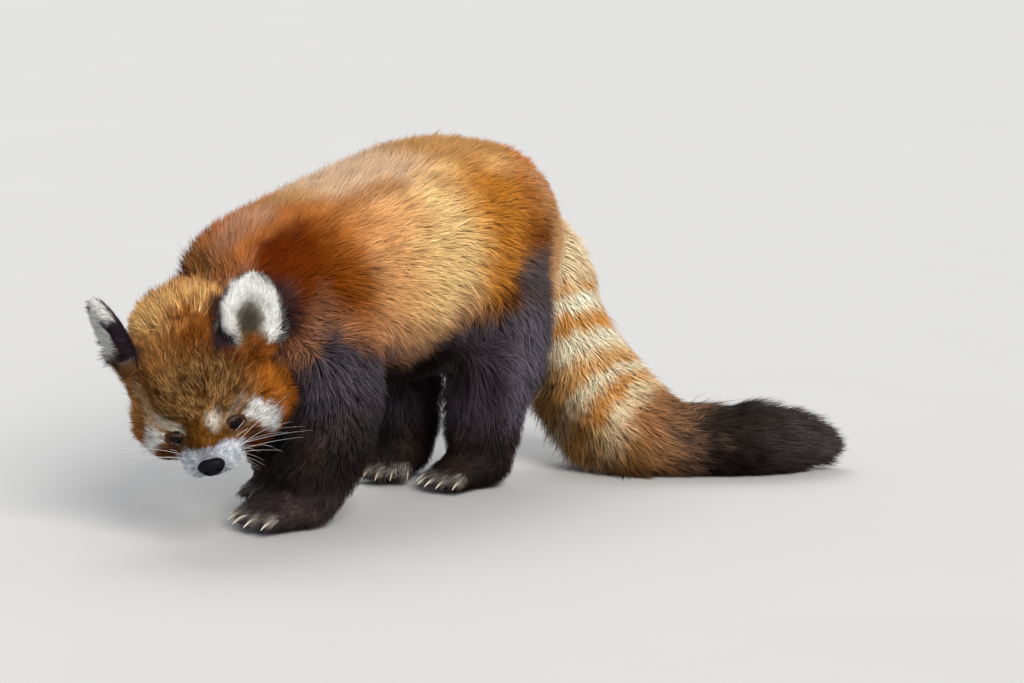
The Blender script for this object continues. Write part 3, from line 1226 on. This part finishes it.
def grow_coat(skin):
    """Tufts all over the skin, each with the lie, length and markings of its place."""
    draw = np.random.default_rng(SEED)
    place, normal, chart = sample_skin(skin, draw)
    keep = ~bare(place)
    place, normal, chart = place[keep], normal[keep], chart[keep]
    count = len(place)
    coat = read_guides(place)
    kind, lie = coat["kind"], coat["lie"]
    stray = wobble(place, 0.030, 9) * 0.30 + wobble(place, 0.012, 18) * (0.16 + 0.5 * kind[:, HEAD_KIND])
    stray = stray[:, None] * np.cross(normal, lie)
    lie = lie + stray + draw.normal(size=(count, 3)) * (kind @ STRAY)[:, None]
    lie = unit(lie - normal * (lie * normal).sum(1, keepdims=True))
    across = np.cross(normal, lie)
    length = coat["length"] * draw.uniform(0.66, 1.20, count)
    depth = coat["depth"] * coat["rise"] * draw.uniform(0.72, 1.12, count)
    proud = draw.random(count) < PROUD_SHARE
    depth = np.where(proud, depth * 1.3, depth)
    length = np.where(proud, length * 1.15, length)
    reach = np.sqrt(np.maximum(length**2 - depth**2, (0.35 * length) ** 2))
    middle = place + normal * (depth * 0.66)[:, None] + lie * (reach * 0.40)[:, None]
    tip = place + normal * (depth * 1.0)[:, None] + lie * reach[:, None]
    lock, middle, tip = gather_locks(place, middle, tip, kind, draw)
    colour, tip_colour = tones(place, lie, tip, kind, lock, draw)
    width = coat["width"] * (kind @ THINNING) / 2 * draw.uniform(0.7, 1.3, count)
    bent = (draw.random(count) < kind @ BENT) & (length > LONG_TUFT)
    order = np.argsort(place[:, 1], kind="stable")
    straight = order[~bent[order]]
    order = order[bent[order]]
    kind = kind.argmax(1)
    root = place - normal * 0.0008
    rings = [(root, width * 0.8, colour * 0.9), (middle, width, colour), (tip, None, tip_colour)]
    build_pieces("coat", rings, across, normal, chart, kind, order)
    rings = [(root, width * 1.2, colour * 0.92), (tip, None, tip_colour)]
    build_pieces("down", rings, across, normal, chart, kind, straight)


PIECE_TRIANGLES = 195000  # the most that one piece of the coat may have


def build_pieces(word, rings, across, normal, chart, kind, order):
    """The tufts as joined meshes, each of one kind of coat and not too heavy."""
    for k, where in enumerate(KINDS):
        mine = order[kind[order] == k]
        if len(mine) == 0:
            continue
        pieces = math.ceil(len(mine) * (6 * len(rings) - 8) / PIECE_TRIANGLES)
        for i, some in enumerate(np.array_split(mine, pieces)):
            thing = tuft_mesh(f"{where}_{word}_{i + 1}", rings, across, normal, chart, some)
            finish(thing, COAT, f"{where}_fur")


PATCH_SIDE = 0.003  # of the map, for one tuft


def tuft_mesh(name, rings, across, normal, chart, some):
    """Closed three-sided tufts that taper to a point."""
    count = len(some)
    top = 3 * (len(rings) - 1)
    points = top + 1
    spots = np.empty((count, points, 3))
    colours = np.ones((count, points, 4))
    patch = np.empty((points, 2))
    for r, (spot, width, colour) in enumerate(rings):
        spot, colour = spot[some], colour[some]
        up = r / (len(rings) - 1)
        patch[3 * r : 3 * r + 3] = [(0, up), (0.5, up), (1, up)][: points - 3 * r]
        if width is None:
            spots[:, top] = spot
            colours[:, top, :3] = colour
            continue
        w = width[some][:, None]
        spots[:, 3 * r] = spot - across[some] * w
        spots[:, 3 * r + 1] = spot + across[some] * w
        spots[:, 3 * r + 2] = spot + normal[some] * w * 0.75
        colours[:, 3 * r : 3 * r + 3, :3] = colour[:, None, :]
    spots[:, :, 2] = np.maximum(spots[:, :, 2], 0.0004)
    base = (np.arange(count) * points)[:, None]
    sides = []
    for r in range(0, top - 3, 3):
        sides += [(k, n, n + 3, k + 3) for k, n in ((r, r + 1), (r + 1, r + 2), (r + 2, r))]
    caps = [(top - 3, top - 2, top), (top - 2, top - 1, top), (top - 1, top - 3, top), (2, 1, 0)]
    quads = (base + np.array(sides, int).reshape(1, -1)).reshape(-1, 4)
    triangles = (base + np.array(caps).reshape(1, -1)).reshape(-1, 3)
    corners = np.concatenate([quads.ravel(), triangles.ravel()]).astype(np.int32)
    sizes = np.concatenate([np.full(len(quads), 4), np.full(len(triangles), 3)])
    starts = np.concatenate([[0], np.cumsum(sizes)[:-1]]).astype(np.int32)
    mesh = bpy.data.meshes.new(name)
    mesh.vertices.add(count * points)
    mesh.vertices.foreach_set("co", spots.astype(np.float32).ravel())
    mesh.loops.add(len(corners))
    mesh.loops.foreach_set("vertex_index", corners)
    mesh.polygons.add(len(sizes))
    mesh.polygons.foreach_set("loop_start", starts)
    mesh.update(calc_edges=True)
    layer = mesh.uv_layers.new(name="OFBake")
    patch = chart[some][:, None, :] + (patch[None] - 0.5) * PATCH_SIDE
    layer.data.foreach_set("uv", patch.reshape(-1, 2)[corners].astype(np.float32).ravel())
    tone = mesh.color_attributes.new("coat_tone", "FLOAT_COLOR", "POINT")
    tone.data.foreach_set("color", colours.astype(np.float32).ravel())
    mesh.polygons.foreach_set("use_smooth", np.ones(len(sizes), bool))
    # The tufts are lit mostly as the skin that they stand on.
    soft = unit(np.repeat(normal[some], points, axis=0))
    mesh.update()
    soft = unit(soft * 0.92 + rows_of(mesh.vertices, "normal", 3) * 0.25)
    mesh.normals_split_custom_set_from_vertices(soft.astype(np.float32))
    thing = bpy.data.objects.new(name, mesh)
    bpy.context.scene.collection.objects.link(thing)
    return thing


# ---------------------------------------------------------------- materials


class Socket:
    """One output of a node; expressions on it add the nodes that work them out."""

    def __init__(self, material, link):
        self.material = material
        self.link = link

    def math(self, operation, *values):
        """A maths node on these values."""
        return self.material.node("ShaderNodeMath", {"operation": operation}, values)

    def __add__(self, other):
        return self.math("ADD", self, other)

    def __radd__(self, other):
        return self.math("ADD", other, self)

    def __sub__(self, other):
        return self.math("SUBTRACT", self, other)

    def __rsub__(self, other):
        return self.math("SUBTRACT", other, self)

    def __mul__(self, other):
        return self.math("MULTIPLY", self, other)

    def __rmul__(self, other):
        return self.math("MULTIPLY", other, self)

    def __pow__(self, other):
        return self.math("POWER", self, other)


class Finish:
    """A material and the tree it is written in."""

    def __init__(self, name, **constants):
        self.made = bpy.data.materials.new(name)
        self.made.use_nodes = True
        self.tree = self.made.node_tree
        self.shader = self.tree.nodes["Principled BSDF"]
        for key, value in constants.items():
            self.shader.inputs[key.replace("_", " ")].default_value = value

    def node(self, kind, settings=None, values=(), output=0):
        """Adds a node: its settings first, then values or links by place or name."""
        node = self.tree.nodes.new(kind)
        for key, value in (settings or {}).items():
            if key == "stops":
                ramp = node.color_ramp.elements
                while len(ramp) < len(value):
                    ramp.new(0.5)
                for element, (position, colour) in zip(ramp, value):
                    element.position = position
                    element.color = (*colour, 1)
            else:
                setattr(node, key, value)
        pairs = values.items() if isinstance(values, dict) else enumerate(values)
        for key, value in pairs:
            if isinstance(value, Socket):
                self.tree.links.new(value.link, node.inputs[key])
            elif value is not None:
                node.inputs[key].default_value = value
        return Socket(self, node.outputs[output])

    def mix(self, share, under, over, how="MIX"):
        """Two colours mixed by a share."""
        settings = {"data_type": "RGBA", "blend_type": how}
        return self.node("ShaderNodeMix", settings, {0: share, 6: under, 7: over}, 2)

    def noise(self, scale, detail=3.0, stretch=None):
        """A cloudy value in the object's own space."""
        where = self.node("ShaderNodeTexCoord", output=3)
        if stretch:
            where = self.node("ShaderNodeMapping", values={0: where, 3: stretch})
        return self.node("ShaderNodeTexNoise", values={"Vector": where, "Scale": scale, "Detail": detail})

    def bump(self, height, strength, distance):
        """The surface's normal, tilted by a height."""
        values = {"Strength": strength, "Distance": distance, "Height": height}
        return self.node("ShaderNodeBump", values=values)

    def toned(self, name, share, noise):
        """The colour kept on the mesh, dimmed by a share of a noise."""
        return self.mix(share, self.node("ShaderNodeAttribute", {"attribute_name": name}), noise, "MULTIPLY")

    def feed(self, **inputs):
        """Links values to the shader's own inputs and gives the material back."""
        for key, socket in inputs.items():
            self.tree.links.new(socket.link, self.shader.inputs[key.replace("_", " ")])
        return self.made


def coat_finish():
    """Hair, in the tufts' own colours."""
    finish = Finish("coat_hair", Roughness=0.62, Specular_IOR_Level=0.03)
    strand = finish.noise(900.0, 2.0)
    colour = finish.toned("coat_tone", 0.15, strand)
    return finish.feed(Base_Color=colour, Roughness=strand * 0.25 + 0.48)


def skin_finish():
    """The skin, in the markings of the coat over it."""
    finish = Finish("skin_under_coat", Roughness=0.8, Specular_IOR_Level=0.2)
    grain = finish.noise(700.0, 4.0)
    colour = finish.toned("coat_tone", 0.5, grain)
    return finish.feed(Base_Color=colour, Normal=finish.bump(grain, 0.5, 0.001))


def eye_finish():
    """A wet dark eye."""
    finish = Finish("wet_eye", Roughness=0.10, IOR=1.36, Specular_IOR_Level=0.22)
    return finish.feed(Base_Color=finish.toned("eye_tone", 0.4, finish.noise(2400.0, 3.0)))


def lid_finish():
    """Creased blackish brown skin."""
    finish = Finish("dark_lid", Roughness=0.55, Specular_IOR_Level=0.25)
    crease = finish.noise(1500.0, 4.0)
    colour = finish.mix(crease, (0.016, 0.008, 0.005, 1), (0.060, 0.028, 0.016, 1))
    return finish.feed(Base_Color=colour, Normal=finish.bump(crease, 0.35, 0.0003))


def nose_finish():
    """Black pebbled leather, a little damp."""
    finish = Finish("nose_leather", Specular_IOR_Level=0.05, Coat_Roughness=0.3)
    where = finish.node("ShaderNodeTexCoord", output=3)
    pebble = finish.node("ShaderNodeTexVoronoi", values={"Vector": where, "Scale": 1150.0})
    damp = finish.noise(260.0, 3.0)
    colour = finish.mix(damp, (0.002, 0.002, 0.003, 1), (0.008, 0.007, 0.008, 1))
    return finish.feed(
        Base_Color=colour,
        Roughness=damp * 0.25 + 0.40,
        Coat_Weight=damp * 0.03,
        Normal=finish.bump(pebble, 0.30, 0.0004),
    )


def claw_finish():
    """Horn with streaks along it."""
    finish = Finish("pale_horn", Roughness=0.32, Coat_Weight=0.3, Coat_Roughness=0.15)
    streak = finish.noise(500.0, 3.0, (1.0, 1.0, 0.3))
    colour = finish.toned("claw_tone", 0.3, streak)
    return finish.feed(Base_Color=colour, Normal=finish.bump(streak, 0.2, 0.0003))


def whisker_finish():
    """Stiff white hair."""
    finish = Finish("whisker", Roughness=0.35)
    streak = finish.noise(300.0, 2.0)
    return finish.feed(Base_Color=finish.mix(streak, (0.72, 0.70, 0.66, 1), (0.92, 0.91, 0.88, 1)))


def floor_finish():
    """A pale, slightly cloudy sheet."""
    finish = Finish("pale_floor", Roughness=0.75, Specular_IOR_Level=0.25)
    cloud = finish.noise(3.0, 5.0)
    return finish.feed(Base_Color=finish.mix(cloud, (0.52, 0.515, 0.51, 1), (0.55, 0.545, 0.54, 1)))


# ---------------------------------------------------------------- pieces


def finish(thing, material, slot, nodes=()):
    """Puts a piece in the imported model's place and says what it rides on and stands for."""
    thing.data.transform(PLACE)
    thing.data.materials.clear()
    thing.data.materials.append(material)
    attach(thing, "root")
    if nodes:
        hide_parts(*nodes)
    return thing


def paint(thing, name, colours):
    """Keeps a colour for each vertex."""
    tone = thing.data.color_attributes.new(name, "FLOAT_COLOR", "POINT")
    full = np.ones((len(colours), 4), np.float32)
    full[:, :3] = colours
    tone.data.foreach_set("color", full.ravel())


def smooth(thing):
    """Shades the faces as one rounded surface."""
    thing.data.polygons.foreach_set("use_smooth", np.ones(len(thing.data.polygons), bool))
    thing.data.update()


# Colours by degrees from the middle of the pupil, and by share of a claw from its root.
EYE_TONES = [
    (0, tint(4, 4, 4)), (17, tint(5, 4, 4)), (20, tint(26, 16, 12)), (36, tint(44, 27, 18)),
    (40, tint(30, 18, 14)), (46, tint(16, 11, 10)), (60, tint(60, 44, 38)), (180, tint(60, 44, 38)),
]
CLAW_TONES = [(0, tint(84, 68, 58)), (0.45, tint(146, 132, 116)), (1, tint(220, 212, 198))]


def set_eye(name, side):
    """An eyeball with a slight cornea, its iris and pupil painted round the way it looks."""
    eye = ball(f"{name}_ball", Matrix.Rotation(math.radians(90), 4, "Y"), 64)
    spots = points_of(eye)
    off = np.degrees(np.arccos(np.clip(spots[:, 0], -1, 1)))
    spots *= (1 + 0.02 * soft_step(50, 10, off))[:, None] * EYE_RADIUS
    move_points(eye, spots)
    paint(eye, "eye_tone", stops(EYE_TONES, off))
    eye.data.transform(eye_frame(side))
    smooth(eye)
    finish(eye, EYE, "eye", [name])


def set_lids(side):
    """A rim of dark skin round the opening, thick at its edge and sunk at its outside."""
    bpy.ops.mesh.primitive_torus_add(major_segments=72, minor_segments=12, major_radius=1, minor_radius=0.3)
    lids = name_it("lids_left" if side > 0 else "lids_right")
    spots = points_of(lids)
    round_way = np.arctan2(spots[:, 1], spots[:, 0])
    ring = np.hypot(spots[:, 0], spots[:, 1]) - 1
    turn = np.arctan2(spots[:, 2], -ring)  # 0 at the inner edge, rising to the outside over the top
    # Share across the lid and height above the eyeball, by the way round the rim's section.
    angle = np.degrees(turn)
    share = np.interp(np.abs(angle), [0, 40, 90, 150, 180], [0.0, 0.10, 0.45, 0.95, 1.0])
    lift = np.where(
        angle >= 0,
        np.interp(angle, [0, 35, 70, 110, 150, 180], [0.0005, 0.0011, 0.0014, 0.0012, 0.0006, -0.0002]),
        np.interp(-angle, [0, 30, 180], [0.0004, 0.00005, -0.0006]),
    )
    half_length, half_height = EYE_OPENING
    upper = np.sin(round_way) > 0
    high = half_height * np.where(upper, 0.98, 0.90)
    if side < 0:
        high = high * RIGHT_EYE_SHUT
    spread = 1.0 + share * 0.48
    y = half_length * np.cos(round_way) * spread
    z = high * np.sin(round_way) * (spread + 0.10 * share) * (1 - 0.10 * np.cos(round_way) ** 2)
    radius = EYE_RADIUS + lift
    x = np.sqrt(np.maximum(radius**2 - y**2 - z**2, 1e-8))
    rows = np.stack([x, y, z], 1)
    long = np.linalg.norm(rows, axis=1)
    move_points(lids, rows * (radius / long)[:, None])
    lids.data.transform(eye_frame(side))
    edit_all(lids, bpy.ops.mesh.normals_make_consistent, inside=False)
    smooth(lids)
    finish(lids, LID, "eye")


# The hole and the slit beside it: place in the pad, forward as a share of its depth; turn; radii.
NOSTRIL = [
    ((0.95, 0.0050, -0.0008), -28, (0.0040, 0.0024, 0.0016)),
    ((0.70, 0.0086, -0.0026), -50, (0.0040, 0.0026, 0.0009)),
]


def set_nose():
    """The pad: broad above, narrow below, with hooked nostrils and the groove between them."""
    centre, radii = NOSE
    pad = ball("nose_pad", Matrix(), 48)
    spots = points_of(pad)
    f, l, u = spots[:, 0], spots[:, 1], spots[:, 2]
    l = l * (0.90 + 0.20 * u)
    f = np.where(f > 0, f * (1 - 0.12 * l * l), f)
    f = f - 0.10 * soft_step(0.20, 0.0, np.abs(l)) * (f > 0) * soft_step(0.6, -0.2, u)
    move_points(pad, np.stack([f * radii[0], l * radii[1], u * radii[2]], 1))
    for side in (1, -1):
        for (f, l, u), angle, size in NOSTRIL:
            place = Matrix.Translation((radii[0] * f, side * l, u))
            turn = Matrix.Rotation(math.radians(angle) * side, 4, "X")
            cut(pad, ball("nostril", place @ turn @ Matrix.Diagonal((*size, 1)), 20))
    apply(pad, "REMESH", mode="VOXEL", voxel_size=0.00042)
    apply(pad, "SMOOTH", factor=0.5, iterations=4)
    pad.data.transform(HEAD @ Matrix.Translation(centre))
    smooth(pad)
    finish(pad, NOSE_LEATHER, "nose_pad", ["nose"])


def set_claws(limb):
    """Curved claws of one paw, pale at the point and browner at the root."""
    claws = []
    for knuckle, ahead in toe_places(limb):
        root = knuckle + ahead * (TOE_LENGTH - 0.006) + Vector((0, 0, -0.0005))
        across = Vector((-ahead.y, ahead.x, 0))
        stations = []
        for k in range(CLAW_STEPS + 1):
            share = k / CLAW_STEPS
            drop = -0.0075 * share * share + 0.0022 * share
            spot = root + ahead * (CLAW_LENGTH * share * (1 - 0.12 * share)) + Vector((0, 0, drop))
            spot.z = max(spot.z, OVER_FLOOR)
            size = CLAW_RADIUS * (1 - 0.9 * share**1.4)
            stations.append((spot, size * 0.72, size * 1.15))
        claw = tube("claw", stations, across, 12)
        spots = points_of(claw)
        far = np.linalg.norm(spots - np.array(root), axis=1) / CLAW_SPAN
        paint(claw, "claw_tone", stops(CLAW_TONES, far))
        claws.append(claw)
    claws = joined(f"{limb}_claws", claws)
    smooth(claws)
    finish(claws, HORN, "claw", [f"{limb}_claw_{i + 1}" for i in range(TOES)])


WHISKER_RADIUS = 0.00014
WHISKER_ROWS = 4  # and as many in a row
WHISKER_STEPS = 8


def set_whiskers(skin_surface):
    """Long stiff hairs that fan out of the upper lips, with shorter ones below."""
    draw = np.random.default_rng(SEED + 1)
    hairs = []
    for side in (1, -1):
        for row in range(WHISKER_ROWS):
            for column in range(WHISKER_ROWS):
                f = 0.062 - 0.0055 * column + draw.normal(0, 0.0008)
                u = -0.012 - 0.0048 * row + draw.normal(0, 0.0007)
                root = HEAD @ Vector((f, side * 0.022, u))
                root = skin_surface.find_nearest(root)[0]
                long = (0.060 - 0.0080 * row + 0.005 * column) * draw.uniform(0.45, 1.2)
                lie = Vector((-0.30 - 0.16 * column, side * (0.95 - 0.10 * row), 0.22 - 0.30 * row))
                lie = (HEAD.to_3x3() @ (lie + Vector(draw.normal(0, 0.14, 3)))).normalized()
                sag = Vector((0, 0.25, -1)) * draw.uniform(0.10, 0.34)
                stations = []
                for k in range(WHISKER_STEPS + 1):
                    share = k / WHISKER_STEPS
                    spot = root + lie * (long * share - 0.002) + sag * (long * share * share)
                    spot.z = max(spot.z, 0.003)
                    thick = WHISKER_RADIUS * (1 - 0.85 * share)
                    stations.append((spot, thick, thick))
                hairs.append(tube("whisker", stations, (0.1, 0.2, 1), 5))
    hairs = joined("whiskers", hairs)
    smooth(hairs)
    finish(hairs, WHISKER, "head_fur")


# ---------------------------------------------------------------- the model

COAT = coat_finish()
SKIN = skin_finish()
EYE = eye_finish()
LID = lid_finish()
NOSE_LEATHER = nose_finish()
HORN = claw_finish()
WHISKER = whisker_finish()

guide_trunk()
guide_limbs()
guide_tail()
guide_head()
guide_ears()
skin = make_skin()
unwrap(skin)
# The skin takes the markings of the coat over it, but darker, as it lies in the coat's shade.
skin_coat = read_guides(points_of(skin))
coat_surface = points_of(skin) + normals_of(skin) * skin_coat["depth"][:, None] * 0.6
paint(skin, "coat_tone", markings(coat_surface, skin_coat["kind"])[0] * 0.75)
smooth(skin)
bare_skin = surface_of(skin)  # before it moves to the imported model's place
grow_coat(skin)
FLESH = [name for name in frame["nodes"] if not any(word in name for word in ("claw", "eye", "nose"))]
finish(skin, SKIN, "body_fur", FLESH)
for eye_name, eye_side in (("eye_left", 1), ("eye_right", -1)):
    set_eye(eye_name, eye_side)
    set_lids(eye_side)
set_nose()
for paw in PAWS:
    set_claws(paw)
set_whiskers(bare_skin)


# ---------------------------------------------------------------- studio


def set_floor():
    """A wide pale sheet that lies under the animal."""
    bpy.ops.mesh.primitive_plane_add(size=1)
    floor = name_it("studio_floor")
    floor.data.transform(Matrix.Diagonal((60, 60, 1, 1)))
    floor.data.materials.append(floor_finish())


def stand(name, data, place, look):
    """Puts a lamp or a camera at a place, turned one way."""
    thing = bpy.data.objects.new(name, data)
    bpy.context.scene.collection.objects.link(thing)
    thing.location = place
    thing.rotation_mode = "QUATERNION"
    thing.rotation_quaternion = look.to_track_quat("-Z", "Y")
    return thing


def set_light(name, place, spread, power, colour):
    """A broad soft light that reaches the whole floor alike."""
    lamp = bpy.data.lights.new(name, "SUN")
    lamp.angle = math.radians(spread)
    lamp.energy = power
    lamp.color = colour
    stand(name, lamp, Vector(place), -Vector(place))


CAMERA_AZIMUTH = math.radians(40)  # from straight ahead of the animal to its left
CAMERA_ELEVATION = math.radians(11)
CAMERA_FAR = 3.3
CAMERA_AT = Vector((0.035, 0, 0))  # from the sizes' own origin
CAMERA_LENS = 127.6
LOOK_RIGHT, LOOK_UP = 22 / 3630, 138.5 / 3630  # of that spot


def set_camera():
    """Looks down on the animal from ahead and its left."""
    camera = bpy.data.cameras.new("camera")
    camera.lens = CAMERA_LENS
    camera.sensor_width = 36
    camera.clip_start = 0.05
    camera.clip_end = 60
    ahead = Vector((math.sin(CAMERA_AZIMUTH), -math.cos(CAMERA_AZIMUTH), 0))
    back = ahead * math.cos(CAMERA_ELEVATION) + Vector((0, 0, math.sin(CAMERA_ELEVATION)))
    right = Vector((math.cos(CAMERA_AZIMUTH), math.sin(CAMERA_AZIMUTH), 0))
    up = right.cross(-back)
    look = -back + right * LOOK_RIGHT + up * LOOK_UP
    place = CAMERA_AT + back * CAMERA_FAR + SHIFT
    bpy.context.scene.camera = stand("camera", camera, place, look)


def set_sky():
    """Soft light from all round."""
    world = bpy.data.worlds.new("studio_air")
    bpy.context.scene.world = world
    world.use_nodes = True
    background = world.node_tree.nodes["Background"]
    background.inputs["Color"].default_value = (0.90, 0.94, 1.0, 1)
    background.inputs["Strength"].default_value = 0.62


set_floor()
set_light("key", (1.6, -0.75, 1.15), 30, 3.35, (1.0, 0.97, 0.92))
set_light("rim", (-0.9, 0.6, 1.6), 40, 1.1, (1.0, 0.98, 0.95))
set_camera()
set_sky()
bpy.context.scene.view_settings.view_transform = "Standard"
